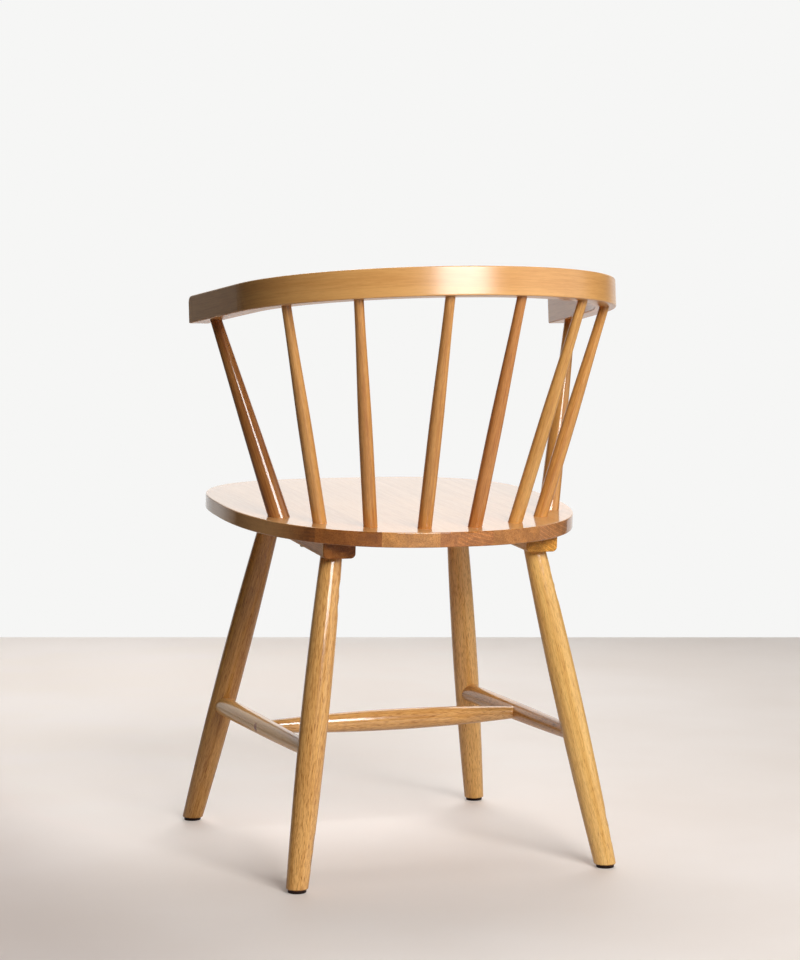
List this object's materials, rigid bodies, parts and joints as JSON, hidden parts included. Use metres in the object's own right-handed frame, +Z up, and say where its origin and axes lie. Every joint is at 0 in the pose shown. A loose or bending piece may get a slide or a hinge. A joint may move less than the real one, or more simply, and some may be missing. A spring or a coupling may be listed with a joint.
{
  "type": "dining chair",
  "caption": "Spindle-back wooden dining chair: tilted solid plank seat on battens, splayed turned legs tied by an H stretcher, and a bent rail whose ends form short open arms.",
  "frame": {"origin": "on the floor, under the middle of the chair's box in plan", "axes": "+Z up, +Y towards the back of the chair, +X towards the sitter's left; the sitter faces -Y"},
  "size_m": [0.5156, 0.5828, 0.7343],
  "materials": {
    "seat_wood": "edge-glued honey-coloured hardwood under a glossy clear lacquer",
    "batten_wood": "planed honey-coloured hardwood under a clear lacquer",
    "turned_wood": "turned honey-coloured hardwood with fine dark pores under a glossy clear lacquer",
    "rail_wood": "steam-bent honey-coloured hardwood under a glossy clear lacquer",
    "glide_plastic": "moulded dark brown plastic",
    "fastener_steel": "plated steel, dulled"
  },
  "bodies": {
    "root": {"seat_board_1": "seat_wood", "seat_board_2": "seat_wood", "seat_board_3": "seat_wood", "seat_board_4": "seat_wood", "seat_board_5": "seat_wood", "seat_board_6": "seat_wood", "seat_board_7": "seat_wood", "batten_left": "batten_wood", "batten_right": "batten_wood", "batten_screws": "fastener_steel", "leg_front_left": "turned_wood", "leg_front_right": "turned_wood", "leg_rear_left": "turned_wood", "leg_rear_right": "turned_wood", "side_stretcher_left": "turned_wood", "side_stretcher_right": "turned_wood", "cross_stretcher": "turned_wood", "glide_front_left": "glide_plastic", "glide_front_right": "glide_plastic", "glide_rear_left": "glide_plastic", "glide_rear_right": "glide_plastic", "glide_nails": "fastener_steel", "spindle_left_1": "turned_wood", "spindle_left_2": "turned_wood", "spindle_left_3": "turned_wood", "spindle_right_1": "turned_wood", "spindle_right_2": "turned_wood", "spindle_right_3": "turned_wood", "arm_post_left": "turned_wood", "arm_post_right": "turned_wood", "back_rail": "rail_wood"}
  },
  "joints": []
}
